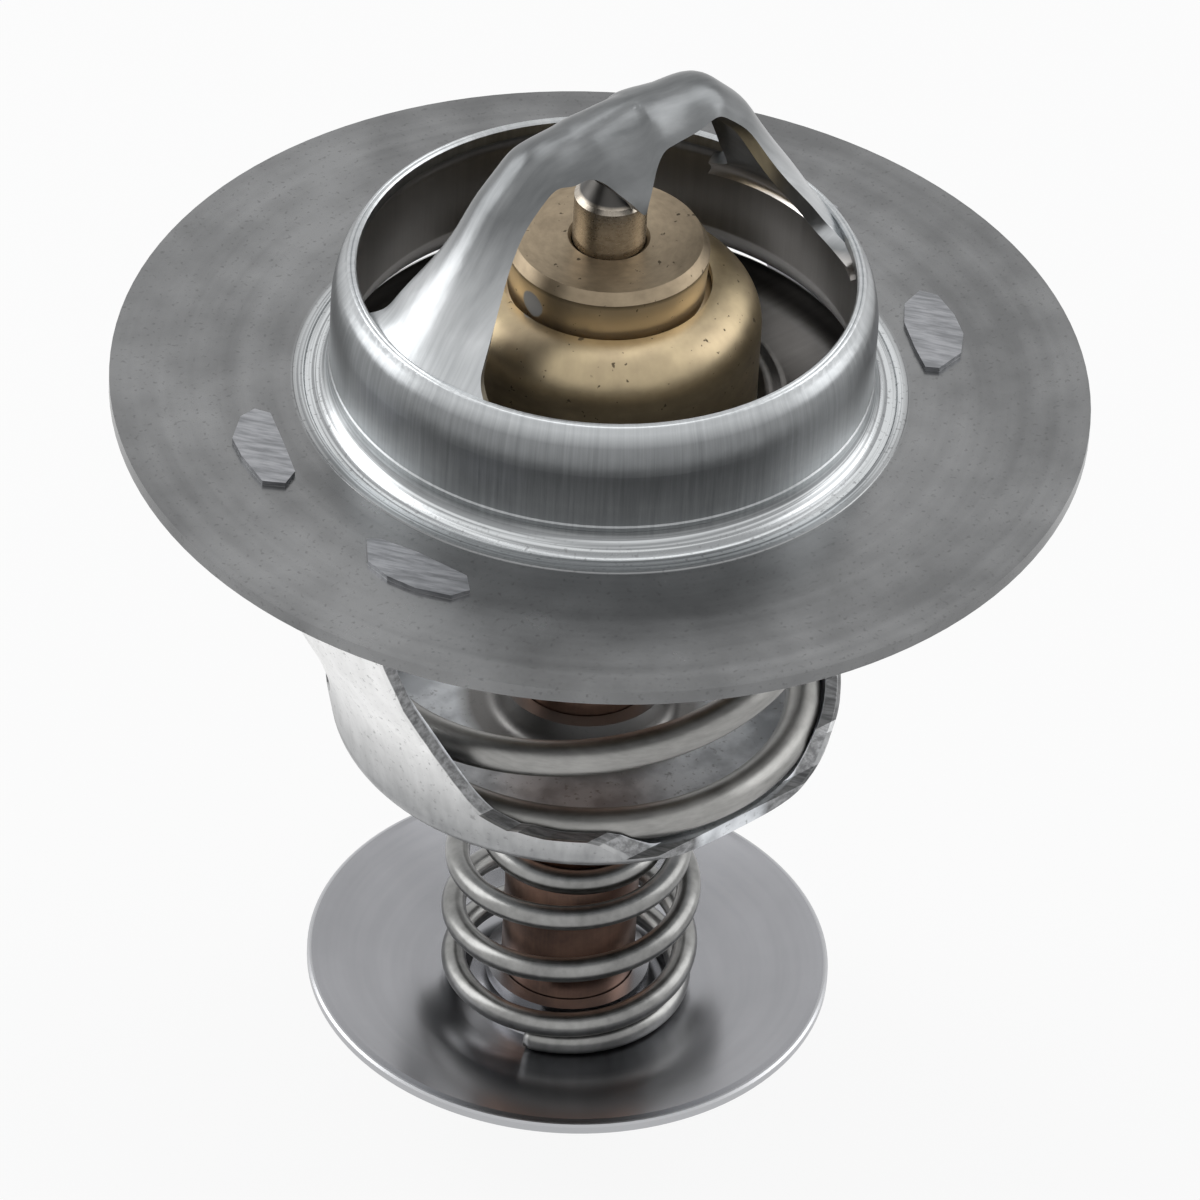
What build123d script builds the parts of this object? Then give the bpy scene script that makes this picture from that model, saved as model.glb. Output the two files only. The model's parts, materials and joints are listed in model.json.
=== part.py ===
from build123d import *
import math
import os

os.makedirs("parts", exist_ok=True)

# ---------------------------------------------------------------- sizes, mm
# flange, collar and bridge: one deep-drawn steel stamping
flange_radius = 33.5
flange_under = 53.8
flange_sheet = 1.0
collar_radius = 18.6
collar_height = 9.6
collar_shoulder = 3.4
neck_radius = 1.6
seat_radius = 2.6
bridge_rise = 13.9
bridge_half_width = 2.7
root_half_width = 8.0

# lower frame: drawn basket staked to the flange
frame_floor = 25.6
frame_sheet = 1.1
frame_floor_radius = 18.1
frame_side_trim = 1.8
frame_top_radius = 24.8
waist_half_width = 5.1
shoulder_half_width = 12.6
tab_width = 6.4
tab_head_height = 0.35
slot_clearance = 0.05
spring_clearance = 0.4

# wax element
pin_radius = 2.5
pin_tip_radius = 1.4
pin_stand = 3.7
running_clearance = 0.06
bore_clearance = 0.08
cup_radius = 4.75
cup_wall = 0.5
cup_bottom = 0.15
cup_flange_top = 49.6
boot_radius = 3.65
shell_radius = 10.7
shell_wall = 0.7
shell_top = 63.8
crimp_radius = 7.2
guide_radius = 6.7
guide_top = 67.2
foot_edge_depth = 4.3

# valve plate
valve_radius = 19.0
valve_sheet = 1.0
valve_drop = 0.2

# springs
main_wire = 2.5
main_pitch = 14.8
small_wire = 1.75
small_radius = 8.3
small_top = 14.75

# bypass disc
disc_radius = 18.6
disc_sheet = 0.8
disc_depth = 2.5
ring_wire = 0.8

# -------------------------------------------------------- derived stations
flange_top = flange_under + flange_sheet
collar_top = flange_top + collar_height
bridge_top = collar_top + bridge_rise
bridge_reach = collar_radius - 0.4
collar_inner = collar_radius - flange_sheet
frame_floor_top = frame_floor + frame_sheet
frame_floor_half = frame_floor_radius - frame_side_trim
valve_top = flange_under + valve_drop
valve_under = valve_top - valve_sheet
hub_bore = cup_radius + bore_clearance


# the frame's four tabs: degrees round the axis, and the outline of each hammered
# head as (along, outward) steps from the middle of its tab
skewed_head = [
    (2.8, -1.4), (4.0, 0.1), (3.2, 1.15), (0.8, 1.55), (-1.4, 1.45), (-3.4, 0.6),
    (-4.65, -1.4), (-4.3, -2.3), (-2.0, -2.3), (0.8, -2.1),
]
blunt_head = [
    (-4.0, -0.6), (-3.2, -1.45), (0.0, -1.2), (3.3, -0.85), (4.3, 0.2), (3.6, 1.6),
    (0.6, 2.0), (-1.4, 1.95), (-3.5, 0.6),
]
bowed_head = [
    (-4.2, -0.3), (-3.4, -0.8), (-0.7, -0.95), (3.4, -0.6), (4.35, 0.6), (3.6, 1.8),
    (1.2, 2.4), (-1.0, 2.35), (-2.9, 1.7),
]
tab_heads = {
    -22.0: skewed_head,
    19.5: [(-along, outward) for along, outward in bowed_head],
    162.0: blunt_head,
    200.5: bowed_head,
}
tab_middle = frame_top_radius - frame_sheet / 2


def offset_path(points, distance):
    """The same open path moved sideways by distance, to its left."""
    moved = []
    last = len(points) - 1
    for i, (x, y) in enumerate(points):
        x0, y0 = points[max(i - 1, 0)]
        x1, y1 = points[min(i + 1, last)]
        length = math.hypot(x1 - x0, y1 - y0)
        moved.append((x - (y1 - y0) / length * distance, y + (x1 - x0) / length * distance))
    return moved


def wire_sections(stations, wire_diameter, sides):
    """Many-sided slices of a round wire along (angle in turns, radius, height)."""
    centres = []
    for turn, radius, height in stations:
        angle = 2 * math.pi * turn
        centres.append(Vector(radius * math.cos(angle), radius * math.sin(angle), height))
    faces = []
    last = len(centres) - 1
    for i, centre in enumerate(centres):
        ahead = centres[min(i + 1, last)]
        behind = centres[max(i - 1, 0)]
        tangent = (ahead - behind).normalized()
        outward = Vector(centre.X, centre.Y, 0).normalized()
        side = (outward - tangent * outward.dot(tangent)).normalized()
        plane = Plane(origin=centre, x_dir=side, z_dir=tangent)
        faces.append((plane * RegularPolygon(wire_diameter / 2, sides)).face())
    return faces


# ------------------------------------------------- flange, collar and bridge
# crown line of the bridge: x as a share of its reach, drop below the top as a
# share of its rise, half width, how far the edges curl down, roundness of curl
leg_stations = [
    (0.231, 0.029, bridge_half_width, 2.7, 1.2),
    (0.33, 0.036, bridge_half_width - 0.1, 2.5, 1.15),
    (0.43, 0.075, bridge_half_width - 0.2, 1.9, 1.1),
    (0.51, 0.165, bridge_half_width - 0.25, 1.65, 1.1),
    (0.593, 0.275, bridge_half_width - 0.15, 1.6, 1.05),
    (0.681, 0.453, bridge_half_width + 0.15, 1.6, 0.95),
    (0.780, 0.655, 0.46 * root_half_width, 1.7, 0.8),
    (0.868, 0.835, 0.575 * root_half_width, 1.6, 0.6),
    (0.907, 0.921, 0.64 * root_half_width, 1.6, 0.55),
    (0.934, 0.978, 0.76 * root_half_width, 1.65, 0.5),
    (0.952, 1.020, 0.885 * root_half_width, 1.75, 0.45),
    (0.984, 1.090, 0.98 * root_half_width, 1.9, 0.45),
    (1.0, 1.194, root_half_width, 1.9, 0.45),
]
# the nose pressed down round the pin's tip: a slope on one side, a step on the other
nose_stations = [
    (-0.197, 0.020, bridge_half_width + 0.25, 3.5, 1.3),
    (-0.151, 0.014, bridge_half_width + 0.5, 4.4, 1.33),
    (-0.105, 0.009, bridge_half_width + 0.65, 5.5, 1.36),
    (-0.064, 0.004, bridge_half_width + 0.75, 6.55, 1.38),
    (-0.022, 0.0, bridge_half_width + 0.8, 7.2, 1.38),
    (0.018, 0.0, bridge_half_width + 0.8, 7.15, 1.38),
    (0.044, 0.002, bridge_half_width + 0.75, 6.6, 1.38),
    (0.062, 0.004, bridge_half_width + 0.7, 5.5, 1.36),
    (0.078, 0.006, bridge_half_width + 0.6, 4.1, 1.33),
    (0.105, 0.010, bridge_half_width + 0.4, 3.15, 1.28),
    (0.160, 0.017, bridge_half_width + 0.2, 2.8, 1.22),
]


def bridge_section(station, behind, ahead):
    """A curved strip slice square to the crown line, as a face."""
    share, drop, half, curl, roundness = station
    tx = (ahead[0] - behind[0]) * bridge_reach
    tz = (behind[1] - ahead[1]) * bridge_rise
    length = math.hypot(tx, tz)
    tangent = Vector(tx / length, 0, tz / length)
    outer = []
    for i in range(-6, 7):
        a = roundness * i / 6
        across = half * math.sin(a) / math.sin(roundness)
        down = curl * (1 - math.cos(a)) / (1 - math.cos(roundness))
        outer.append((across, -down))
    inner = offset_path(outer, -flange_sheet)
    crown = (share * bridge_reach, 0, bridge_top - drop * bridge_rise)
    plane = Plane(origin=crown, x_dir=(0, 1, 0), z_dir=tangent)
    with BuildSketch(plane) as slice_face:
        with BuildLine():
            top = Spline(outer)
            bottom = Spline(inner)
            Line(top @ 0, bottom @ 0)
            Line(top @ 1, bottom @ 1)
        make_face()
    return slice_face.sketch.face()


with BuildPart() as flange_bridge:
    with BuildSketch(Plane.XZ):
        with BuildLine():
            Polyline(
                (flange_radius, flange_under),
                (flange_radius, flange_top),
                (collar_radius + neck_radius + 0.85, flange_top),
                (collar_radius + neck_radius + 0.8, flange_top + 0.09),
                (collar_radius + neck_radius + 0.1, flange_top + 0.09),
                (collar_radius + neck_radius, flange_top),
            )
            RadiusArc(
                (collar_radius + neck_radius, flange_top),
                (collar_radius, flange_top + neck_radius),
                neck_radius,
            )
            Polyline(
                (collar_radius, flange_top + neck_radius),
                (collar_radius + 0.09, flange_top + neck_radius + 0.12),
                (collar_radius + 0.09, flange_top + neck_radius + 0.4),
                (collar_radius, flange_top + neck_radius + 0.52),
                (collar_radius, collar_top - collar_shoulder),
            )
            Spline(
                [
                    (collar_radius, collar_top - collar_shoulder),
                    (collar_radius - 0.12, collar_top - 0.66 * collar_shoulder),
                    (collar_radius - 0.42, collar_top - 0.35 * collar_shoulder),
                    (collar_radius - 0.95, collar_top - 0.1 * collar_shoulder),
                    (collar_inner - 0.2, collar_top - 0.03),
                ],
                tangents=((0.02, 1), (-1, 0.05)),
            )
            Polyline(
                (collar_inner - 0.2, collar_top - 0.03),
                (collar_inner - 0.26, collar_top - 0.08),
                (collar_inner - 0.34, collar_top),
                (collar_inner - 0.5, collar_top),
                (collar_inner - 0.62, collar_top - 0.12),
                (collar_inner - 0.62, collar_top - 0.9),
            )
            ThreePointArc(
                (collar_inner - 0.62, collar_top - 0.9),
                (collar_inner - 0.18, collar_top - 1.45),
                (collar_inner, collar_top - 2.4),
            )
            Line((collar_inner, collar_top - 2.4), (collar_inner, flange_under + seat_radius))
            RadiusArc(
                (collar_inner, flange_under + seat_radius),
                (collar_inner + seat_radius, flange_under),
                -seat_radius,
            )
            Line((collar_inner + seat_radius, flange_under), (flange_radius, flange_under))
        make_face()
    revolve(axis=Axis.Z)
    # four slots that take the frame's tabs
    with BuildSketch(Plane.XY.offset(flange_under)):
        for turn in tab_heads:
            with PolarLocations(tab_middle, 1, start_angle=turn):
                Rectangle(frame_sheet + 2 * slot_clearance, tab_width + 2 * slot_clearance)
    extrude(amount=flange_sheet, mode=Mode.SUBTRACT)
    # the arched bridge, drawn out of the collar's rim
    mirrored_leg = [(-s[0],) + s[1:] for s in reversed(leg_stations)]
    full_line = mirrored_leg + nose_stations + leg_stations
    slices = []
    for i, station in enumerate(full_line):
        before = full_line[max(i - 1, 0)]
        after = full_line[min(i + 1, len(full_line) - 1)]
        slices.append(bridge_section(station, before, after))
    loft(slices)
flange_bridge.part.label = "flange_bridge"
export_step(flange_bridge.part, "parts/flange_bridge.step")

# ------------------------------------------------------------- lower frame
wall_rise = flange_under - frame_floor
top_step = frame_top_radius - frame_floor_radius
frame_wall = [
    (frame_floor_radius - 0.45, frame_floor + 0.057 * wall_rise),
    (frame_floor_radius, frame_floor + 0.138 * wall_rise),
    (frame_floor_radius + 0.06 * top_step, frame_floor + 0.209 * wall_rise),
    (frame_floor_radius + 0.14 * top_step, frame_floor + 0.270 * wall_rise),
    (frame_floor_radius + 0.28 * top_step, frame_floor + 0.355 * wall_rise),
    (frame_floor_radius + 0.56 * top_step, frame_floor + 0.489 * wall_rise),
    (frame_floor_radius + 0.78 * top_step, frame_floor + 0.645 * wall_rise),
    (frame_floor_radius + 0.90 * top_step, frame_floor + 0.787 * wall_rise),
    (frame_floor_radius + 0.97 * top_step, frame_floor + 0.901 * wall_rise),
    (frame_top_radius, flange_under),
]
frame_wall_inner = offset_path(frame_wall, frame_sheet)
frame_wall_inner[0] = (frame_wall[0][0] - frame_sheet, frame_wall[0][1])
frame_wall_inner[-1] = (frame_top_radius - frame_sheet, flange_under)

with BuildPart() as lower_frame:
    with BuildSketch(Plane.XZ):
        with BuildLine():
            Line((hub_bore, frame_floor + 3.5), (hub_bore, frame_floor + 1.2))
            RadiusArc((hub_bore, frame_floor + 1.2), (hub_bore + 1.2, frame_floor), 1.2)
            Line((hub_bore + 1.2, frame_floor), (frame_floor_radius - 2.05, frame_floor))
            RadiusArc((frame_floor_radius - 2.05, frame_floor), frame_wall[0], -1.6)
            Spline(frame_wall, tangents=((0.25, 1), (0.02, 1)))
            Line(frame_wall[-1], frame_wall_inner[-1])
            Spline(list(reversed(frame_wall_inner)), tangents=((-0.02, -1), (-0.25, -1)))
            Line(frame_wall_inner[0], (frame_wall_inner[0][0], frame_floor_top + 0.6))
            RadiusArc(
                (frame_wall_inner[0][0], frame_floor_top + 0.6),
                (frame_wall_inner[0][0] - 0.6, frame_floor_top),
                0.6,
            )
            Line((frame_wall_inner[0][0] - 0.6, frame_floor_top), (hub_bore + 2.1, frame_floor_top))
            RadiusArc(
                (hub_bore + 2.1, frame_floor_top),
                (hub_bore + 1.1, frame_floor_top + 1.0),
                1.0,
            )
            Line((hub_bore + 1.1, frame_floor_top + 1.0), (hub_bore + 1.1, frame_floor + 3.5))
            Line((hub_bore + 1.1, frame_floor + 3.5), (hub_bore, frame_floor + 3.5))
        make_face()
    revolve(axis=Axis.Z)
    # trim the drawn cup: straight sides on the floor, a low torn wall, two waisted legs
    shoulder_step = shoulder_half_width - waist_half_width
    torn_wall = [
        (frame_floor_half, frame_floor - 1.0),
        (frame_floor_half, frame_floor_top + 0.05),
        (0.94 * frame_floor_half, frame_floor_top + 0.1),
        (0.92 * frame_floor_half, frame_floor + 1.9),
        (0.89 * frame_floor_half, frame_floor + 2.8),
        (0.86 * frame_floor_half, frame_floor + 3.1),
        (0.735 * frame_floor_half, frame_floor + 3.1),
        (0.65 * frame_floor_half, frame_floor + 3.4),
        (0.61 * frame_floor_half, frame_floor + 3.3),
        (waist_half_width + 3.2, frame_floor + 4.1),
    ]
    leg_edge = [
        (waist_half_width + 3.2, frame_floor + 4.1),
        (waist_half_width + 2.1, frame_floor + 0.195 * wall_rise),
        (waist_half_width + 1.2, frame_floor + 0.270 * wall_rise),
        (waist_half_width + 0.6, frame_floor + 0.355 * wall_rise),
        (waist_half_width + 0.4, frame_floor + 0.479 * wall_rise),
        (waist_half_width + 0.1, frame_floor + 0.596 * wall_rise),
        (waist_half_width, frame_floor + 0.674 * wall_rise),
        (waist_half_width + 0.16 * shoulder_step, frame_floor + 0.780 * wall_rise),
        (waist_half_width + 0.45 * shoulder_step, frame_floor + 0.887 * wall_rise),
        (shoulder_half_width, flange_under),
    ]
    with BuildSketch(Plane.YZ):
        with BuildLine():
            for side in (1, -1):
                Polyline([(side * y, z) for y, z in torn_wall])
                Spline([(side * y, z) for y, z in leg_edge])
            Line((shoulder_half_width, flange_under), (-shoulder_half_width, flange_under))
            Line(torn_wall[0], (-frame_floor_half, frame_floor - 1.0))
        make_face()
    extrude(amount=2 * frame_top_radius, both=True, mode=Mode.INTERSECT)
    # four tabs through the flange with staked heads
    with BuildSketch(Plane.XY.offset(flange_under - 0.6)):
        for turn in tab_heads:
            with PolarLocations(tab_middle, 1, start_angle=turn):
                Rectangle(frame_sheet, tab_width)
    extrude(amount=flange_sheet + 0.6 + tab_head_height / 2)
    with BuildSketch(Plane.XY.offset(flange_top)):
        for turn, outline in tab_heads.items():
            with PolarLocations(tab_middle, 1, start_angle=turn):
                Polygon(*[(outward, along) for along, outward in outline], align=None)
    extrude(amount=tab_head_height)
lower_frame.part.label = "lower_frame"
export_step(lower_frame.part, "parts/lower_frame.step")

# -------------------------------------------------------------- piston pin
pin_bottom = 24.0
pin_shoulder = guide_top + pin_stand
socket_height = bridge_top - flange_sheet - 0.05

with BuildPart() as piston_pin:
    with BuildSketch(Plane.XZ):
        with BuildLine():
            Polyline(
                (0, pin_bottom),
                (pin_radius - 0.8, pin_bottom),
                (pin_radius, pin_bottom + 0.8),
                (pin_radius, pin_shoulder - 0.25),
                (pin_radius - 0.25, pin_shoulder),
                (pin_tip_radius, pin_shoulder + 1.4),
                (pin_tip_radius, socket_height - 1.5),
                (0.35 * pin_tip_radius, socket_height - 0.3),
                (0, socket_height),
                (0, pin_bottom),
            )
        make_face()
    revolve(axis=Axis.Z)
piston_pin.part.label = "piston_pin"
export_step(piston_pin.part, "parts/piston_pin.step")

# -------------------------------------------------------------- guide bush
# turned brass guide: a wide foot held by the crimp and a boss round the pin
foot_bottom = cup_flange_top + 2.6
foot_radius = shell_radius - shell_wall - 0.05
guide_bore = pin_radius + running_clearance

with BuildPart() as guide_bush:
    with BuildSketch(Plane.XZ):
        with BuildLine():
            Polyline(
                (guide_bore, foot_bottom),
                (foot_radius, foot_bottom),
                (foot_radius, shell_top - foot_edge_depth),
                (foot_radius - 1.1, shell_top - 0.51 * foot_edge_depth),
                (guide_radius + 0.6, shell_top - 1.0),
                (guide_radius, shell_top - 0.8),
                (guide_radius + 0.2, guide_top - 0.8),
                (guide_radius - 0.3, guide_top),
                (guide_bore + 0.25, guide_top),
                (guide_bore, guide_top - 0.25),
                (guide_bore, foot_bottom),
            )
        make_face()
    revolve(axis=Axis.Z)
guide_bush.part.label = "guide_bush"
export_step(guide_bush.part, "parts/guide_bush.step")

# ------------------------------------------------------------- backup ring
with BuildPart() as backup_ring:
    with BuildSketch(Plane.XY.offset(foot_bottom - 0.6)):
        Circle(foot_radius - 0.1)
        Circle(guide_bore, mode=Mode.SUBTRACT)
    extrude(amount=0.58)
backup_ring.part.label = "backup_ring"
export_step(backup_ring.part, "parts/backup_ring.step")

# ------------------------------------------------------------- rubber boot
boot_top = foot_bottom - 0.62
boot_bottom = pin_bottom - 1.5

with BuildPart() as rubber_boot:
    with BuildSketch(Plane.XZ):
        with BuildLine():
            Polyline(
                (0, boot_bottom),
                (boot_radius - 1.0, boot_bottom),
                (boot_radius, boot_bottom + 1.0),
                (boot_radius, cup_flange_top + 0.02),
                (foot_radius - 0.1, cup_flange_top + 0.02),
                (foot_radius - 0.1, boot_top),
                (guide_bore, boot_top),
                (guide_bore, pin_bottom + 0.75),
                (pin_radius - 0.8, pin_bottom - 0.05),
                (0, pin_bottom - 0.05),
                (0, boot_bottom),
            )
        make_face()
    revolve(axis=Axis.Z)
rubber_boot.part.label = "rubber_boot"
export_step(rubber_boot.part, "parts/rubber_boot.step")

# -------------------------------------------------------------- wax charge
cup_floor = cup_bottom + 3.2
wax_radius = cup_radius - cup_wall - 0.02

with BuildPart() as wax_charge:
    with BuildSketch(Plane.XZ):
        with BuildLine():
            Polyline(
                (0, cup_floor + 0.02),
                (wax_radius, cup_floor + 0.02),
                (wax_radius, cup_flange_top - 0.1),
                (boot_radius + 0.02, cup_flange_top - 0.1),
                (boot_radius + 0.02, boot_bottom + 0.98),
                (boot_radius - 1.0, boot_bottom - 0.02),
                (0, boot_bottom - 0.02),
                (0, cup_floor + 0.02),
            )
        make_face()
    revolve(axis=Axis.Z)
wax_charge.part.label = "wax_charge"
export_step(wax_charge.part, "parts/wax_charge.step")

# ----------------------------------------------------------------- wax cup
# deep-drawn copper cup with a flange held in the shell and a ring groove
ring_height = cup_bottom + 1.125 * ring_wire
ring_radius = cup_radius + 0.125 * ring_wire

with BuildPart() as wax_cup:
    with BuildSketch(Plane.XZ):
        with BuildLine():
            Polyline(
                (0, cup_bottom),
                (cup_radius - 0.3, cup_bottom),
                (cup_radius, cup_bottom + 0.3),
                (cup_radius, cup_flange_top - 1.4),
                (cup_radius + 0.6, cup_flange_top - 0.8),
                (foot_radius - 0.1, cup_flange_top - 0.8),
                (foot_radius - 0.1, cup_flange_top),
                (cup_radius - cup_wall, cup_flange_top),
                (cup_radius - cup_wall, cup_floor),
                (0, cup_floor),
                (0, cup_bottom),
            )
        make_face()
    revolve(axis=Axis.Z)
    with BuildSketch(Plane.XZ):
        with Locations((ring_radius, ring_height)):
            Circle(ring_wire / 2 + 0.02)
    revolve(axis=Axis.Z, mode=Mode.SUBTRACT)
wax_cup.part.label = "wax_cup"
export_step(wax_cup.part, "parts/wax_cup.step")

# --------------------------------------------------------------- snap ring
with BuildPart() as snap_ring:
    with BuildSketch(Plane.XZ):
        with Locations((ring_radius, ring_height)):
            RegularPolygon(ring_wire / 2, 12)
    revolve(axis=Axis.Z, revolution_arc=325)
snap_ring.part.label = "snap_ring"
export_step(snap_ring.part, "parts/snap_ring.step")

# ------------------------------------------------------------- crimp shell
# brass shell turned in under the cup's flange and crimped over the guide
shell_bottom = cup_flange_top - 0.8 - shell_wall - 0.02
dome_radius = shell_radius - crimp_radius
shell_shoulder = shell_top - dome_radius

with BuildPart() as crimp_shell:
    with BuildSketch(Plane.XZ):
        with BuildLine():
            Polyline(
                (crimp_radius + 1.2, shell_bottom),
                (shell_radius - 0.5, shell_bottom),
                (shell_radius, shell_bottom + 0.5),
                (shell_radius, shell_shoulder),
            )
            RadiusArc((shell_radius, shell_shoulder), (crimp_radius, shell_top), -dome_radius)
            Line((crimp_radius, shell_top), (crimp_radius, shell_top - shell_wall))
            RadiusArc(
                (crimp_radius, shell_top - shell_wall),
                (shell_radius - shell_wall, shell_shoulder),
                dome_radius - shell_wall,
            )
            Polyline(
                (shell_radius - shell_wall, shell_shoulder),
                (shell_radius - shell_wall, shell_bottom + shell_wall),
                (crimp_radius + 1.2, shell_bottom + shell_wall),
                (crimp_radius + 1.2, shell_bottom),
            )
        make_face()
    revolve(axis=Axis.Z)
crimp_shell.part.label = "crimp_shell"
export_step(crimp_shell.part, "parts/crimp_shell.step")

# ------------------------------------------------------------- valve plate
plate_bore = shell_radius + 0.02
rise = 0.6

with BuildPart() as valve_plate:
    with BuildSketch(Plane.XZ):
        with BuildLine():
            Line((plate_bore, valve_under + rise), (plate_bore, valve_top + rise))
            Line((plate_bore, valve_top + rise), (plate_bore + 0.5, valve_top + rise))
            Spline(
                [(plate_bore + 0.5, valve_top + rise), (plate_bore + 2.2, valve_top)],
                tangents=((1, 0), (1, 0)),
            )
            Line((plate_bore + 2.2, valve_top), (valve_radius - 0.3, valve_top))
            Line((valve_radius - 0.3, valve_top), (valve_radius, valve_top - 0.2))
            Line((valve_radius, valve_top - 0.2), (valve_radius, valve_under))
            Line((valve_radius, valve_under), (plate_bore + 2.0, valve_under))
            Spline(
                [(plate_bore + 2.0, valve_under), (plate_bore + 0.3, valve_under + rise)],
                tangents=((-1, 0), (-1, 0)),
            )
            Line((plate_bore + 0.3, valve_under + rise), (plate_bore, valve_under + rise))
        make_face()
    revolve(axis=Axis.Z)
valve_plate.part.label = "valve_plate"
export_step(valve_plate.part, "parts/valve_plate.step")

# ------------------------------------------------------------- main spring
main_radius = frame_floor_radius - frame_sheet - spring_clearance - main_wire / 2
spring_low = frame_floor_top + main_wire / 2 + 0.03
spring_high = valve_under - main_wire / 2 - 0.03
closed_turns = 0.83
closed_rise = 0.24 * main_wire
live_turns = (spring_high - spring_low - 2 * closed_rise) / main_pitch
main_turns = live_turns + 2 * closed_turns
main_start = -0.567


def main_height(turn):
    """Height gained at a number of turns from either closed end."""
    if turn < closed_turns - 0.2:
        return 0.4 * closed_rise * turn / (closed_turns - 0.2)
    if turn < closed_turns:
        return closed_rise * (0.4 + 0.6 * (turn - closed_turns + 0.2) / 0.2)
    return closed_rise + (turn - closed_turns) * main_pitch


main_stations = []
steps = round(main_turns * 24)
for i in range(steps + 1):
    turn = main_turns * i / steps
    if turn < main_turns / 2:
        height = spring_low + main_height(turn)
    else:
        height = spring_high - main_height(main_turns - turn)
    main_stations.append((main_start + turn, main_radius, height))

main_slices = wire_sections(main_stations, main_wire, 10)
with BuildPart() as main_spring:
    loft(main_slices, ruled=True)
main_spring.part.label = "main_spring"
export_step(main_spring.part, "parts/main_spring.step")

# ----------------------------------------------------------- bypass spring
# closed on the disc, then widening pitch, then a small coil round the cup
small_low = disc_sheet + small_wire / 2 + 0.03
grip_radius = cup_radius + small_wire / 2 + 0.03
free_rise = small_top - small_low
small_line = [
    (0.0, small_radius - 0.4, 0.0),
    (0.57, small_radius - 0.3, 0.045),
    (1.07, small_radius, 0.15),
    (1.42, small_radius, 0.28),
    (2.07, small_radius, 0.55),
    (2.57, small_radius, 0.735),
    (3.07, small_radius - 0.2, 0.905),
    (3.32, small_radius - 0.9, 0.95),
    (3.62, grip_radius + 0.7, 0.975),
    (3.87, grip_radius, 0.99),
    (4.67, grip_radius, 1.0),
]
small_start = -0.418


def between(turn):
    """Radius and share of the rise at a number of turns, joined by straight steps."""
    for (t0, r0, h0), (t1, r1, h1) in zip(small_line, small_line[1:]):
        if turn <= t1:
            share = (turn - t0) / (t1 - t0)
            return r0 + (r1 - r0) * share, h0 + (h1 - h0) * share
    return small_line[-1][1], small_line[-1][2]


small_stations = []
steps = round(small_line[-1][0] * 24)
for i in range(steps + 1):
    turn = small_line[-1][0] * i / steps
    radius, share = between(turn)
    small_stations.append((small_start + turn, radius, small_low + share * free_rise))

small_slices = wire_sections(small_stations, small_wire, 10)
with BuildPart() as bypass_spring:
    loft(small_slices, ruled=True)
bypass_spring.part.label = "bypass_spring"
export_step(bypass_spring.part, "parts/bypass_spring.step")

# ------------------------------------------------------------- bypass disc
# pressed dish with a narrow flat rim, a soft bend round the spring seat and a hub
seat_edge = 9.6
rim_width = 0.65
cone_start = seat_edge + 2.4
cone_slope = disc_depth / (disc_radius - rim_width - seat_edge)
cone_low = (cone_start - seat_edge) * cone_slope

with BuildPart() as bypass_disc:
    with BuildSketch(Plane.XZ):
        with BuildLine():
            Polyline(
                (seat_edge - 0.8, disc_sheet),
                (hub_bore + 2.1, disc_sheet),
                (hub_bore + 1.0, 2.0),
                (hub_bore + 1.0, disc_sheet + 2.2),
                (hub_bore, disc_sheet + 2.2),
                (hub_bore, 1.8),
                (hub_bore + 1.45, 0),
                (seat_edge - 0.8, 0),
            )
            Spline(
                [(seat_edge - 0.8, 0), (cone_start, cone_low)],
                tangents=((1, 0), (1, cone_slope)),
            )
            Line((cone_start, cone_low), (disc_radius - rim_width, disc_depth))
            Line((disc_radius - rim_width, disc_depth), (disc_radius - 0.1, disc_depth))
            Line((disc_radius - 0.1, disc_depth), (disc_radius, disc_depth + 0.1))
            Line((disc_radius, disc_depth + 0.1), (disc_radius, disc_depth + disc_sheet - 0.15))
            Line(
                (disc_radius, disc_depth + disc_sheet - 0.15),
                (disc_radius - 0.15, disc_depth + disc_sheet),
            )
            Line(
                (disc_radius - 0.15, disc_depth + disc_sheet),
                (disc_radius - rim_width - 0.1, disc_depth + disc_sheet),
            )
            Line(
                (disc_radius - rim_width - 0.1, disc_depth + disc_sheet),
                (cone_start, cone_low + disc_sheet),
            )
            Spline(
                [(cone_start, cone_low + disc_sheet), (seat_edge - 0.8, disc_sheet)],
                tangents=((-1, -cone_slope), (-1, 0)),
            )
        make_face()
    revolve(axis=Axis.Z)
bypass_disc.part.label = "bypass_disc"
export_step(bypass_disc.part, "parts/bypass_disc.step")
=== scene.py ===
import bpy
import bmesh
import json
import math
from mathutils import Matrix, Vector


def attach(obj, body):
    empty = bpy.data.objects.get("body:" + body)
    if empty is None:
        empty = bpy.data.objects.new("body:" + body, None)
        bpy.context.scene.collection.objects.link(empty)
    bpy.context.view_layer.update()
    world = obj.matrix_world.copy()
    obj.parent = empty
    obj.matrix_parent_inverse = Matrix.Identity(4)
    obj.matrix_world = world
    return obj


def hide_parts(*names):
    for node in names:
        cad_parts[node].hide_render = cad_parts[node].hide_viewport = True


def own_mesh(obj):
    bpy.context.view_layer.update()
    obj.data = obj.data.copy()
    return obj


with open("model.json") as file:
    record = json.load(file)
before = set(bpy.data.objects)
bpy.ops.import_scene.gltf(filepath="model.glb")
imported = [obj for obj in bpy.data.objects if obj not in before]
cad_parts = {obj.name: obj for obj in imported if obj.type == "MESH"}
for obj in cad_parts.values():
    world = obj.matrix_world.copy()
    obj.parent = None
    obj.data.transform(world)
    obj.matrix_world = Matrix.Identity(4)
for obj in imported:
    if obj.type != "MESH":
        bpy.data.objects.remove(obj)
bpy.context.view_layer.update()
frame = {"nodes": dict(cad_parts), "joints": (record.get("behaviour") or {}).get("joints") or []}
nodes = frame["nodes"]
MM = 0.001


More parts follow.
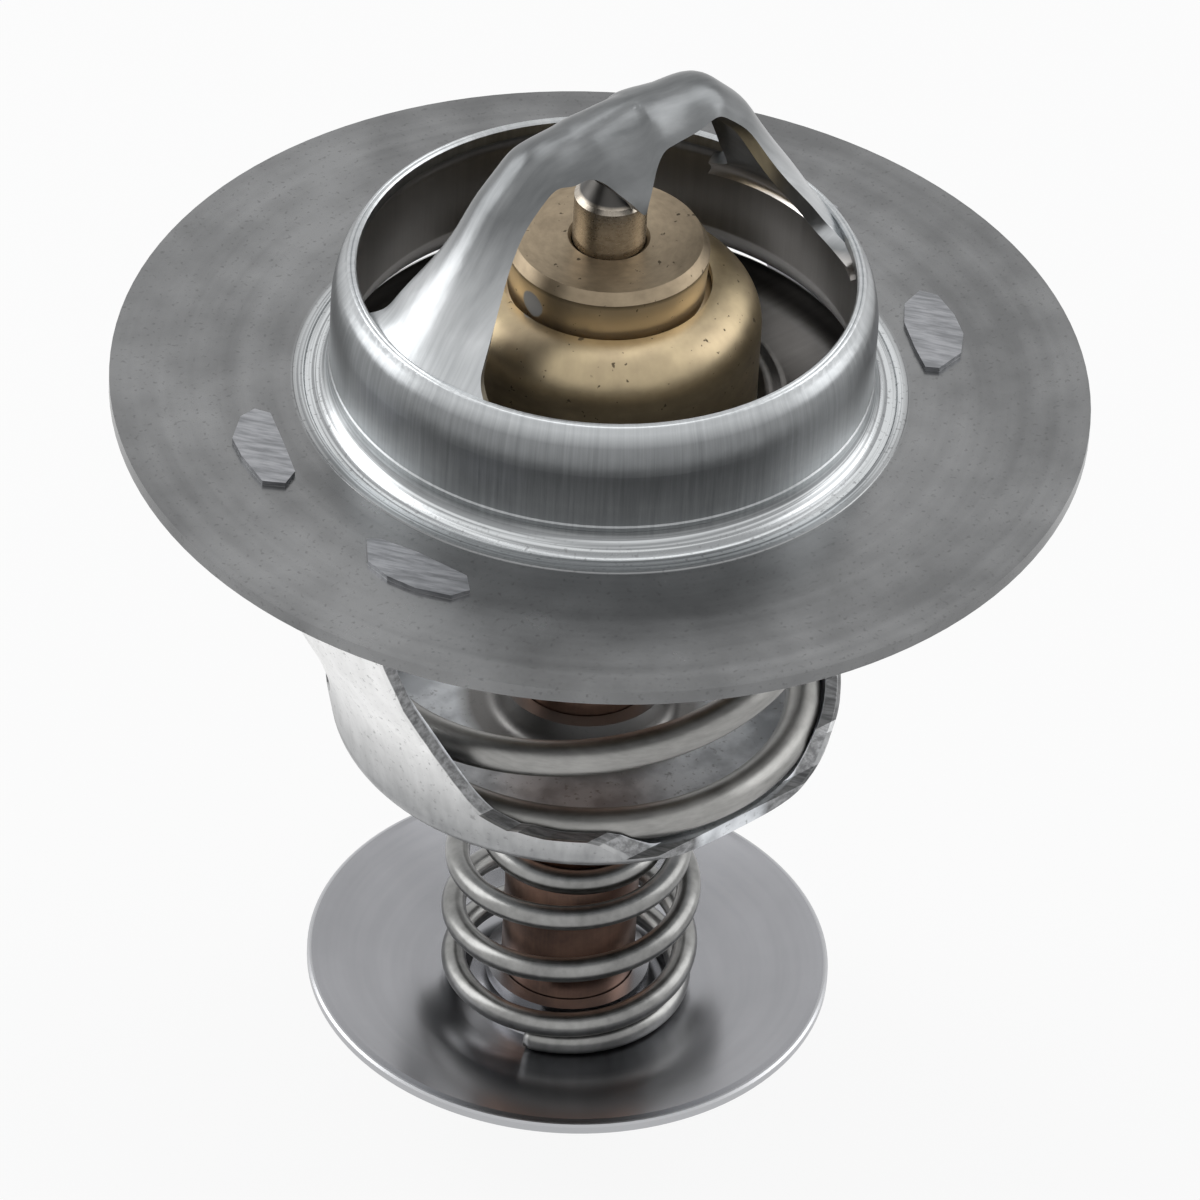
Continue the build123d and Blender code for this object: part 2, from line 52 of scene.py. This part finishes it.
# ---------------------------------------------------------------- flange, collar and bridge
# One deep-drawn stamping of 1 mm steel sheet: a flat flange, a short collar and an arched
# bridge whose middle is pressed down round the pin's tip. The drawing dies leave streaks on
# the collar and up the bridge's roots, and the rolled sheet keeps a faint grain and stains.
class Share:
    """A node's output; sums, differences, products and shares of numbers add Math nodes."""

    def __init__(self, tree, socket):
        self.tree = tree
        self.socket = socket

    def work(self, operation, first, second=None):
        node = self.tree.nodes.new("ShaderNodeMath")
        node.operation = operation
        for place, value in zip(node.inputs, (first, second)):
            if isinstance(value, Share):
                self.tree.links.new(value.socket, place)
            elif value is not None:
                place.default_value = value
        return Share(self.tree, node.outputs[0])

    def __add__(self, other):
        return self.work("ADD", self, other)

    def __radd__(self, other):
        return self.work("ADD", other, self)

    def __sub__(self, other):
        return self.work("SUBTRACT", self, other)

    def __rsub__(self, other):
        return self.work("SUBTRACT", other, self)

    def __mul__(self, other):
        return self.work("MULTIPLY", self, other)

    def __rmul__(self, other):
        return self.work("MULTIPLY", other, self)

    def __truediv__(self, other):
        return self.work("DIVIDE", self, other)

    def root(self):
        return self.work("SQRT", self)

    def between(self, low, high):
        """0 at low, 1 at high, held outside them."""
        node = self.tree.nodes.new("ShaderNodeMapRange")
        node.inputs["From Min"].default_value = low
        node.inputs["From Max"].default_value = high
        self.tree.links.new(self.socket, node.inputs["Value"])
        return Share(self.tree, node.outputs[0])


class Finish:
    """One piece's material: constants on the shader, patterns linked to its sockets."""

    def __init__(self, name, **constants):
        self.material = bpy.data.materials.new(name)
        self.material.use_nodes = True
        self.tree = self.material.node_tree
        self.shader = self.tree.nodes["Principled BSDF"]
        for key, value in constants.items():
            self.shader.inputs[key.replace("_", " ")].default_value = value
        self.place = self.node("ShaderNodeTexCoord", output="Object")
        parts = self.node("ShaderNodeSeparateXYZ", output=None, Vector=self.place)
        self.x, self.y, self.z = [Share(self.tree, o) for o in parts.outputs]
        self.radius = (self.x * self.x + self.y * self.y).root()
        self.cosine = self.x / self.radius
        self.sine = self.y / self.radius

    def node(self, kind, settings=None, output=0, **sockets):
        """Any node: its settings first, then values or links for its sockets."""
        node = self.tree.nodes.new(kind)
        for key, value in (settings or {}).items():
            setattr(node, key, value)
        for key, value in sockets.items():
            place = node.inputs[key.replace("_", " ")]
            if isinstance(value, Share):
                self.tree.links.new(value.socket, place)
            else:
                place.default_value = value
        if output is None:
            return node
        return Share(self.tree, node.outputs[output])

    def vector(self, x, y, z):
        return self.node("ShaderNodeCombineXYZ", X=x, Y=y, Z=z)

    def noise(self, scale, stretch=(1, 1, 1), detail=4.0, roughness=0.55, at=None):
        place = self.node("ShaderNodeMapping", Vector=at or self.place, Scale=stretch)
        return self.node(
            "ShaderNodeTexNoise", output="Fac", Vector=place, Scale=scale, Detail=detail, Roughness=roughness
        )

    def round_noise(self, around, along, detail=3.0):
        """Streaks that run with the turning: fine across, long round the axis."""
        spot = self.vector(self.cosine * around, self.sine * around, (self.radius * 0.8 + self.z) * along)
        return self.noise(1.0, detail=detail, roughness=0.6, at=spot)

    def blend(self, share, low, high):
        """A colour between low and high, either of them a colour or a link."""
        mix = self.tree.nodes.new("ShaderNodeMix")
        mix.data_type = "RGBA"
        self.tree.links.new(share.socket, mix.inputs[0])
        for place, value in ((mix.inputs[6], low), (mix.inputs[7], high)):
            if isinstance(value, Share):
                self.tree.links.new(value.socket, place)
            else:
                place.default_value = (*value, 1.0)
        return Share(self.tree, mix.outputs[2])

    def feed(self, **links):
        for key, value in links.items():
            self.tree.links.new(value.socket, self.shader.inputs[key.replace("_", " ")])

    def bump(self, height, strength, distance):
        self.feed(Normal=self.node("ShaderNodeBump", Height=height, Strength=strength, Distance=distance))

    def put_on(self, piece):
        piece.data.materials.clear()
        piece.data.materials.append(self.material)


drawn = Finish("drawn_steel", Metallic=1.0)
stain = drawn.noise(55, detail=4.0, roughness=0.5)
blotch = drawn.noise(190, detail=4.0)
grit = drawn.noise(2600, detail=2.0)
spot = drawn.vector(drawn.cosine * 60.0, drawn.sine * 60.0, (drawn.z + drawn.radius * 0.8) * 110.0)
upright = drawn.noise(1.0, detail=4.0, roughness=0.65, at=spot)
along = drawn.noise(1500, stretch=(0.12, 1.0, 0.12), detail=4.0)
spot = drawn.vector(drawn.radius * 750.0, drawn.cosine * 0.5, drawn.sine * 0.5)
rings = drawn.noise(1.0, detail=3.0, roughness=0.5, at=spot)
spot = drawn.vector((drawn.radius - drawn.z) * 4200.0, drawn.cosine * 0.7, drawn.sine * 0.7)
hoops = drawn.noise(1.0, detail=2.0, roughness=0.5, at=spot)
flange_to_collar = (0.0549, 0.0560)
collar_to_bridge = (0.0652, 0.0668)
wall_to_bore = (0.01775, 0.0174)
rim_to_bore = (0.0632, 0.0622)
high_to_low_wall = (0.0606, 0.0584)
wall_to_crest = (0.0631, 0.0639)
arch_to_roots = (0.0740, 0.0668)
flange_to_foot_ring = (0.0212, 0.0205)
collar_to_foot_ring = (0.0564, 0.0557)
fillet_radius = 0.0202
fillet_height = 0.0564
raised = drawn.z.between(*flange_to_collar)
bridge = drawn.z.between(*collar_to_bridge)
within = drawn.radius.between(*wall_to_bore) * drawn.z.between(*rim_to_bore)
out = drawn.radius - fillet_radius
over = drawn.z - fillet_height
foot = over.between(0.0001, -0.0001) * out.between(-0.0004, -0.0008)
# Painted reflection: a near-white band is painted on the seat inside the neck.
seat_painted_reflection = foot * (out * out + over * over).root().between(0.0022, 0.0024)
streak = bridge * along + (raised - bridge * raised) * upright
flat = stain * 0.5 + blotch * 0.3 + rings * 0.2
pepper = drawn.noise(2900, detail=1.0).between(0.62, 0.74) * (1 - raised)
plain = drawn.blend(flat.between(0.40, 0.60), (0.160, 0.162, 0.164), (0.262, 0.265, 0.268))
mark = (streak * 0.55 + blotch * 0.25 + stain * 0.2).between(0.34, 0.66)
# Painted shade and highlight: the collar wall is painted darker high up and lighter low down, towards the
# neck.
wall_high_painted_shade = drawn.blend(mark, (0.165, 0.173, 0.177), (0.265, 0.274, 0.28))
wall_low_painted_highlight = drawn.blend(mark, (0.26, 0.27, 0.276), (0.40, 0.413, 0.42))
wall = drawn.blend(drawn.z.between(*high_to_low_wall), wall_high_painted_shade, wall_low_painted_highlight)
# Painted highlight: the collar's rounded crest is painted much lighter than its wall.
crest_painted_highlight = drawn.blend(mark, (0.38, 0.395, 0.405), (0.54, 0.557, 0.567))
sides = drawn.blend(drawn.z.between(*wall_to_crest), wall, crest_painted_highlight)
# Painted shade and highlight: the bridge's arch is painted dark and its roots light; the streaks over both
# are real.
arch_painted_shade = drawn.blend(mark, (0.115, 0.12, 0.123), (0.205, 0.212, 0.216))
roots_painted_highlight = drawn.blend(mark, (0.38, 0.392, 0.40), (0.60, 0.615, 0.625))
span = drawn.blend(drawn.z.between(*arch_to_roots), arch_painted_shade, roots_painted_highlight)
outside = drawn.blend(raised, plain, drawn.blend(bridge, sides, span))
# Painted highlight: a bright ring with hoops is painted round the fillet where the collar meets the flange.
foot_ring = drawn.radius.between(*flange_to_foot_ring) * drawn.z.between(*collar_to_foot_ring)
fillet_painted_highlight = drawn.blend(hoops.between(0.42, 0.58), (0.28, 0.29, 0.297), (0.62, 0.64, 0.65))
shell = drawn.blend(foot_ring, outside, fillet_painted_highlight)
# Painted light: the bore's inner wall is painted far lighter than the outside, standing in for light in its
# shade.
bore_painted_light = drawn.blend(stain.between(0.4, 0.6), (0.66, 0.63, 0.60), (0.88, 0.85, 0.82))
walls = drawn.blend(within, shell, bore_painted_light)
aged = drawn.blend(pepper * 0.4, walls, (0.09, 0.09, 0.09))
drawn.feed(
    Base_Color=drawn.blend(seat_painted_reflection, aged, (0.95, 0.95, 0.95)),
    Roughness=0.24 + streak * 0.09 + blotch * 0.05 + seat_painted_reflection * 0.15,
)
drawn.bump(streak * 0.6 + blotch * 0.35 + rings * (1 - raised) * 0.35 + grit * 0.2, 0.22, 0.00005)
drawn.put_on(nodes["flange_bridge"])


# ---------------------------------------------------------------- lower frame
# A drawn basket of 1.1 mm sheet, plated pale, with two waisted legs. Its four tabs pass
# through the flange and are staked over, which leaves rough heads. Its trimmed edges are
# torn and darker than its faces.
plated = Finish("plated_steel", Metallic=1.0)
spangle = plated.noise(420, detail=4.0, roughness=0.5)
pull = plated.noise(1400, stretch=(1.0, 1.0, 0.08), detail=4.0)
fleck = plated.noise(2300, detail=3.0, roughness=0.6).between(0.60, 0.70)
head = plated.z.between(0.05470, 0.05485)
slant = plated.vector(plated.x * 0.8 + plated.y * 0.6, (plated.y * 0.8 - plated.x * 0.6) * 0.14, plated.z)
drag = plated.noise(2600, detail=5.0, roughness=0.6, at=slant)
outline = (
    (17.65, 27.2), (18.10, 29.5), (18.50, 31.5), (19.04, 33.2), (19.98, 35.6),
    (21.85, 39.4), (23.33, 43.8), (24.13, 47.8), (24.60, 51.0), (24.80, 53.8),
)
depth = outline[0][0] * MM - plated.radius
for (near, below), (far, above) in zip(outline, outline[1:]):
    depth = depth + plated.z.between(below * MM, above * MM) * ((far - near) * MM)
low = plated.z.between(0.0352, 0.0272)
torn = depth.between(0.00020, 0.00028) * depth.between(0.00115, 0.00100) * (1 - head)
inner = depth.between(0.00090, 0.00105)
grey = (spangle * 0.6 + pull * 0.4).between(0.36, 0.64)
# Painted shade and highlight: the basket's outside is painted near-white high up and much darker low down.
low_skin_painted_shade = plated.blend(grey, (0.26, 0.265, 0.27), (0.40, 0.405, 0.41))
high_skin_painted_highlight = plated.blend(grey, (0.82, 0.82, 0.815), (0.97, 0.97, 0.965))
outer_skin = plated.blend(low, high_skin_painted_highlight, low_skin_painted_shade)
# Painted reflection and shade: the basket's inner face is painted pale blue-grey, and dark round the hub.
inner_painted_reflection = plated.blend(spangle.between(0.40, 0.60), (0.50, 0.52, 0.545), (0.76, 0.785, 0.815))
inner_reflection_and_hub_shade = plated.blend(plated.radius.between(0.0090, 0.0078), inner_painted_reflection, (0.25, 0.245, 0.24))
torn_skin = plated.blend(drag.between(0.38, 0.62), (0.17, 0.172, 0.176), (0.34, 0.344, 0.35))
skin = plated.blend(torn, plated.blend(inner, outer_skin, inner_reflection_and_hub_shade), torn_skin)
sheared = plated.blend(drag.between(0.38, 0.62), (0.20, 0.205, 0.215), (0.34, 0.345, 0.362))
plated.feed(
    Base_Color=plated.blend(head, plated.blend(fleck * 0.5, skin, (0.18, 0.18, 0.18)), sheared),
    Roughness=0.28 + spangle * 0.14 + inner * 0.08 + torn * 0.16,
)
rough_patch = (head + torn) * drag
plated.bump(rough_patch * 1.1 + (1 - head) * (spangle * 0.5 + pull * 0.4), 0.3, 0.00007)
plated.put_on(nodes["lower_frame"])


# ---------------------------------------------------------------- piston pin
# A ground steel pin, fixed to the housing, that the wax element pushes itself away from.
# It has a bright chamfer and a cone that seats in the bridge's nose.
ground = Finish("pin_steel", Metallic=1.0)
lap = ground.round_noise(6.0, 5200.0)
film = ground.noise(420, detail=4.0)
ground_skin = ground.blend(
    (lap * 0.5 + film * 0.5).between(0.35, 0.65), (0.32, 0.285, 0.24), (0.50, 0.45, 0.385)
)
# Painted shade: the pin's cone under the bridge's nose is painted near-black.
cone_painted_shade = ground.z.between(0.07095, 0.07115)
ground.feed(
    Base_Color=ground.blend(cone_painted_shade, ground_skin, (0.075, 0.072, 0.068)),
    Roughness=0.22 + lap * 0.12 + cone_painted_shade * 0.1,
)
ground.bump(lap, 0.2, 0.00003)
ground.put_on(nodes["piston_pin"])


# ---------------------------------------------------------------- main spring
# Cold-wound round wire, 2.5 mm thick, closed at both ends. It sits on the frame's floor
# and holds the valve plate up against its seat. The real spring shortens as the valve opens;
# this wire keeps its rest length.
def wind(name, stations, thickness, sides):
    """Round wire wound through (turn, radius, height) stations, its ends capped and eased."""
    places = []
    for turn, radius, height in stations:
        spin = 2 * math.pi * turn
        places.append(Vector((radius * math.cos(spin), radius * math.sin(spin), height)))
    work = bmesh.new()
    rings = []
    last = len(places) - 1
    for i, place in enumerate(places):
        along = (places[min(i + 1, last)] - places[max(i - 1, 0)]).normalized()
        side = Vector((place.x, place.y, 0))
        side = (side - along * side.dot(along)).normalized()
        up = along.cross(side)
        half = thickness / 2 * (0.86 if i in (0, last) else 1.0)
        ring = []
        for k in range(sides):
            spin = 2 * math.pi * k / sides
            ring.append(work.verts.new(place + half * (side * math.cos(spin) + up * math.sin(spin))))
        rings.append(ring)
    for before, after in zip(rings, rings[1:]):
        for k in range(sides):
            work.faces.new((before[k - 1], before[k], after[k], after[k - 1])).smooth = True
    work.faces.new(rings[0])
    work.faces.new(rings[-1])
    bmesh.ops.recalc_face_normals(work, faces=work.faces[:])
    mesh = bpy.data.meshes.new(name)
    work.to_mesh(mesh)
    work.free()
    piece = bpy.data.objects.new(name, mesh)
    bpy.context.scene.collection.objects.link(piece)
    return piece


def eased(line, turns, steps, width):
    """Stations read from a table of corners, with each corner rounded over width turns."""
    def read(turn):
        turn = min(max(turn, 0.0), line[-1][0])
        for low, high in zip(line, line[1:]):
            if turn <= high[0]:
                share = (turn - low[0]) / (high[0] - low[0])
                return [a + (b - a) * share for a, b in zip(low, high)]
        return list(line[-1])

    stations = []
    for i in range(steps + 1):
        turn = turns * i / steps
        reach = min(width, turn, turns - turn)
        near = [read(turn + reach * k / 4) for k in range(-4, 5)]
        stations.append([sum(column) / 9 for column in zip(*near)])
    return stations


main_wire = 2.5
main_radius = 15.35
main_pitch = 14.8
floor_top = 26.7
plate_under = 53.0
low = floor_top + main_wire / 2 + 0.03
high = plate_under - main_wire / 2 - 0.03
closed = 0.83
start = 0.567
ease = 0.24 * main_wire
whole = (high - low - 2 * ease) / main_pitch + 2 * closed
main_line = [
    (0.0, main_radius, low),
    (closed - 0.2, main_radius, low + 0.4 * ease),
    (closed, main_radius, low + ease),
    (whole - closed, main_radius, high - ease),
    (whole - closed + 0.2, main_radius, high - 0.4 * ease),
    (whole, main_radius, high),
]
stations = [(t - start, r * MM, h * MM) for t, r, h in eased(main_line, whole, 420, 0.08)]
main_spring = wind("main_spring_wire", stations, main_wire * MM, 28)
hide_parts("main_spring")
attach(main_spring, "housing")
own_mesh(main_spring)

wire = Finish("spring_steel", Metallic=1.0)
draw = wire.noise(1500, stretch=(0.5, 0.5, 2.5), detail=3.0)
cloud = wire.noise(160, detail=4.0)
wire.feed(
    Base_Color=wire.blend(
        (draw * 0.4 + cloud * 0.6).between(0.36, 0.64), (0.24, 0.238, 0.23), (0.36, 0.356, 0.345)
    ),
    Roughness=0.33 + draw * 0.12,
)
wire.bump(draw, 0.1, 0.00002)
wire.put_on(main_spring)


# ---------------------------------------------------------------- guide bush
# Turned brass: a wide foot held under the crimp and a boss that guides the pin, with a
# bright chamfer that is a painted highlight, fine tool rings, a few small pits in its face
# and a pale grey dab on the boss beside one leg of the bridge.
dab_centre = (-0.0068, -0.0003, 0.0646)


def brass_look(name, dark, light, ring_scale, lift):
    look = Finish(name)
    rings = look.round_noise(5.0, ring_scale)
    patina = look.noise(260, detail=4.0, roughness=0.6)
    smut = look.noise(120, detail=4.0).between(0.52, 0.75)
    pits = look.noise(1700, detail=2.0).between(0.68, 0.72)
    body = look.blend((patina * 0.6 + rings * 0.4).between(0.34, 0.66), dark, light)
    # Painted highlight: the chamfer at the top is painted bright pale brass.
    lit = look.blend(look.z.between(0.0664, 0.0660) * lift, body, (0.80, 0.66, 0.45))
    dulled = look.blend(smut * 0.5, lit, (0.13, 0.10, 0.07))
    pitted = look.blend(pits * 0.75, dulled, (0.03, 0.022, 0.015))
    # A pale grey, non-metal dab is painted on the boss beside one leg of the bridge.
    offsets = [axis - middle for axis, middle in zip((look.x, look.y, look.z), dab_centre)]
    away = sum(offset * offset for offset in offsets).root()
    dab = (away + look.noise(900) * 0.0004).between(0.00118, 0.00108)
    look.feed(
        Base_Color=look.blend(dab, pitted, (0.30, 0.30, 0.295)),
        Metallic=1.0 - dab,
        Roughness=0.36 + patina * 0.12 + pits * 0.2 + dab * 0.2,
    )
    look.bump(rings * 0.5 + patina * 0.3 - pits * 1.2, 0.2, 0.00004)
    return look


turned = brass_look("brass", (0.22, 0.175, 0.12), (0.36, 0.29, 0.20), 2600.0, 0.7)
turned.put_on(nodes["guide_bush"])


# ---------------------------------------------------------------- crimp shell
# Drawn brass shell turned in under the cup's flange and rolled over the guide's foot,
# with a rounded shoulder. The valve plate is pressed on to its wall.
rolled = brass_look("brass_shell", (0.30, 0.24, 0.155), (0.48, 0.39, 0.245), 1500.0, 0.1)
rolled.put_on(nodes["crimp_shell"])


# ---------------------------------------------------------------- sealed inner pieces
# The slip ring, rubber boot and wax that fill the element. They are closed in by the shell
# and the cup, and only show if the element is taken apart.
def soft_look(name, node, roughness, scale, spread, dark, light):
    look = Finish(name, Roughness=roughness)
    look.feed(Base_Color=look.blend(look.noise(scale).between(*spread), dark, light))
    look.put_on(nodes[node])


soft_look("slip_plastic", "backup_ring", 0.45, 300, (0.3, 0.7), (0.78, 0.78, 0.75), (0.88, 0.88, 0.86))
soft_look("rubber", "rubber_boot", 0.7, 400, (0.3, 0.7), (0.02, 0.02, 0.02), (0.045, 0.045, 0.045))
soft_look("wax", "wax_charge", 0.5, 900, (0.35, 0.65), (0.38, 0.25, 0.16), (0.62, 0.46, 0.32))


# ---------------------------------------------------------------- wax cup
# Deep-drawn copper cup that holds the wax. It hangs through the frame's floor and the
# bypass disc, darkened by handling, with long faint drawing lines.
copper = Finish("copper", Metallic=1.0)
spot = copper.vector(copper.cosine * 22.0, copper.sine * 22.0, copper.z * 90.0)
lines = copper.noise(1.0, detail=4.0, roughness=0.5, at=spot)
tarnish = copper.noise(260, detail=5.0, roughness=0.65)
copper.feed(
    Base_Color=copper.blend(
        (lines * 0.15 + tarnish * 0.85).between(0.34, 0.66), (0.16, 0.108, 0.086), (0.34, 0.205, 0.152)
    ),
    Roughness=0.22 + tarnish * 0.16,
)
copper.bump(lines * 0.2 + tarnish * 0.4, 0.15, 0.00003)
copper.put_on(nodes["wax_cup"])


# ---------------------------------------------------------------- valve plate
# Bright rolled steel disc, pressed on to the shell's wall, painted near-black as painted shade. The main
# spring holds its rim
# up against the flared neck, which closes the valve.
bright = Finish("valve_steel", Metallic=1.0)
roll = bright.noise(700, stretch=(0.2, 3.0, 1.0), detail=4.0)
haze = bright.noise(130, detail=4.0)
bright.feed(
    # Painted shade: the disc is painted near-black all over.
    Base_Color=bright.blend(
        (roll * 0.4 + haze * 0.6).between(0.36, 0.64), (0.060, 0.058, 0.056), (0.092, 0.089, 0.087)
    ),
    Roughness=0.12 + haze * 0.08,
)
bright.bump(roll, 0.08, 0.00003)
bright.put_on(nodes["valve_plate"])


# ---------------------------------------------------------------- bypass spring
# Dark wire, 1.75 mm thick, closed on the disc below and drawn in to a small coil that
# grips the cup above. The real spring shortens when the disc meets its port; this wire
# keeps its rest length.
small_wire = 1.75
disc_sheet = 0.8
cup_radius = 4.75
gap = 0.03
seat = disc_sheet + small_wire / 2 + gap
top = 14.75
grip = cup_radius + small_wire / 2 + gap
rise = top - seat
start = 0.418
small_line = [
    (0.0, 7.9, seat),
    (0.57, 8.0, seat + 0.045 * rise),
    (1.07, 8.3, seat + 0.15 * rise),
    (1.42, 8.3, seat + 0.28 * rise),
    (2.07, 8.3, seat + 0.55 * rise),
    (2.57, 8.3, seat + 0.735 * rise),
    (3.07, 8.1, seat + 0.905 * rise),
    (3.32, 7.4, seat + 0.95 * rise),
    (3.62, grip + 0.7, seat + 0.975 * rise),
    (3.87, grip, seat + 0.99 * rise),
    (4.67, grip, top),
]
whole = small_line[-1][0]
stations = [(t - start, r * MM, h * MM) for t, r, h in eased(small_line, whole, 400, 0.08)]
bypass_spring = wind("bypass_spring_wire", stations, small_wire * MM, 24)
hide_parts("bypass_spring")
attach(bypass_spring, "element")
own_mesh(bypass_spring)
black_wire = Finish("dark_spring_steel", Metallic=1.0)
scale = black_wire.noise(1300, detail=4.0)
cloud = black_wire.noise(220, detail=4.0)
black_wire.feed(
    Base_Color=black_wire.blend(
        (scale * 0.4 + cloud * 0.6).between(0.36, 0.64), (0.18, 0.18, 0.176), (0.30, 0.30, 0.293)
    ),
    Roughness=0.25 + scale * 0.10,
)
black_wire.bump(scale, 0.1, 0.00002)
black_wire.put_on(bypass_spring)


# ---------------------------------------------------------------- snap ring
# A split ring of round wire, sprung into a groove at the cup's foot. It keeps the bypass
# disc from sliding off.
wire.put_on(nodes["snap_ring"])


# ---------------------------------------------------------------- bypass disc
# A pressed steel dish with a flat rim and an upturned hub. It slides on the cup's lower
# end, and its spring holds it down on the snap ring.
pressed = Finish("disc_steel", Metallic=1.0)
circles = pressed.round_noise(0.6, 900.0)
smear = pressed.noise(90, detail=4.0, roughness=0.5)
# Painted highlight: a lighter ring is painted along the dish's outer rim.
rim_painted_highlight = pressed.radius.between(0.01825, 0.01838)
face = pressed.blend(
    (circles * 0.3 + smear * 0.7).between(0.34, 0.66), (0.285, 0.288, 0.302), (0.350, 0.353, 0.370)
)
pressed.feed(
    Base_Color=pressed.blend(rim_painted_highlight, face, (0.46, 0.465, 0.48)),
    Roughness=0.20 + smear * 0.08 + rim_painted_highlight * 0.08,
)
pressed.bump(circles * 0.4 + smear * 0.4, 0.12, 0.00003)
pressed.put_on(nodes["bypass_disc"])


# ---------------------------------------------------------------- floor, lamps and camera
# A plain white floor, a soft pale surround and three broad soft lamps. The floor lies
# under the disc's lowest place, so the disc still shows when the valve is open.
def shown_apart(tree, lit, shown, share, output):
    """Shader lit as light on the object, shown to camera, glossy and transmission rays."""
    ray = tree.nodes.new("ShaderNodeLightPath")
    kinds = ("Is Camera Ray", "Is Glossy Ray", "Is Transmission Ray")
    seen = sum(Share(tree, ray.outputs[kind]) for kind in kinds).between(0.0, 1.0) * share
    mix = tree.nodes.new("ShaderNodeMixShader")
    tree.links.new(seen.socket, mix.inputs[0])
    tree.links.new(lit.outputs[0], mix.inputs[1])
    tree.links.new(shown.outputs[0], mix.inputs[2])
    tree.links.new(mix.outputs[0], tree.nodes[output].inputs["Surface"])


lift = next(joint for joint in frame["joints"] if joint["name"] == "valve_lift")
floor_drop = lift["range_m"][1] + 0.0002
work = bmesh.new()
bmesh.ops.create_grid(work, x_segments=1, y_segments=1, size=3.0)
bmesh.ops.translate(work, verts=work.verts[:], vec=(0, 0, -floor_drop))
mesh = bpy.data.meshes.new("floor")
work.to_mesh(mesh)
work.free()
floor = bpy.data.objects.new("floor", mesh)
bpy.context.scene.collection.objects.link(floor)
paper = bpy.data.materials.new("floor_white")
paper.use_nodes = True
tree = paper.node_tree
shader = tree.nodes["Principled BSDF"]
shader.inputs["Base Color"].default_value = (0.86, 0.86, 0.86, 1)
shader.inputs["Roughness"].default_value = 0.9
shader.inputs["Specular IOR Level"].default_value = 0.0
glow = tree.nodes.new("ShaderNodeEmission")
glow.inputs["Strength"].default_value = 1.0
shown_apart(tree, shader, glow, 0.9, "Material Output")
floor.data.materials.append(paper)

world = bpy.data.worlds.new("studio")
bpy.context.scene.world = world
world.use_nodes = True
tree = world.node_tree
sky = tree.nodes["Background"]
sky.inputs["Color"].default_value = (0.62, 0.63, 0.65, 1)
sky.inputs["Strength"].default_value = 0.55
white = tree.nodes.new("ShaderNodeBackground")
white.inputs["Color"].default_value = (1, 1, 1, 1)
shown_apart(tree, sky, white, 1.0, "World Output")


def lamp(name, place, look_at, width, height, power):
    light = bpy.data.lights.new(name, "AREA")
    light.shape = "RECTANGLE"
    light.size = width
    light.size_y = height
    light.energy = power
    holder = bpy.data.objects.new(name, light)
    bpy.context.scene.collection.objects.link(holder)
    holder.location = place
    aim = Vector(look_at) - Vector(place)
    holder.rotation_euler = aim.to_track_quat("-Z", "Y").to_euler()


right = Vector((0.77199, -0.63400, 0.04563))
camera_up = Vector((0.37072, 0.50739, 0.77790))
back = Vector((-0.51634, -0.58361, 0.62673))
level = Vector((right.x, right.y, 0)).normalized()
away = Vector((-back.x, -back.y, 0)).normalized()
middle = Vector((0, 0, 0.045))
lamp("left_lamp", middle - 0.42 * level + 0.10 * away + Vector((0, 0, 0.22)), middle, 0.30, 0.45, 1.1)
lamp("right_lamp", middle + 0.42 * level + 0.10 * away + Vector((0, 0, 0.22)), middle, 0.30, 0.45, 0.8)
lamp("top_lamp", middle + 0.15 * away + Vector((0, 0, 0.55)), middle, 0.35, 0.35, 0.5)

camera = bpy.data.cameras.new("camera")
camera.lens = 307.06
camera.sensor_width = 36.0
camera.clip_start = 0.01
camera.clip_end = 20.0
stand = bpy.data.objects.new("camera", camera)
bpy.context.scene.collection.objects.link(stand)
turned_to = Matrix((right, camera_up, back)).transposed().to_4x4()
stand.matrix_world = Matrix.Translation((-0.36603, -0.41497, 0.48069)) @ turned_to
bpy.context.scene.camera = stand
bpy.context.scene.view_settings.view_transform = "Standard"
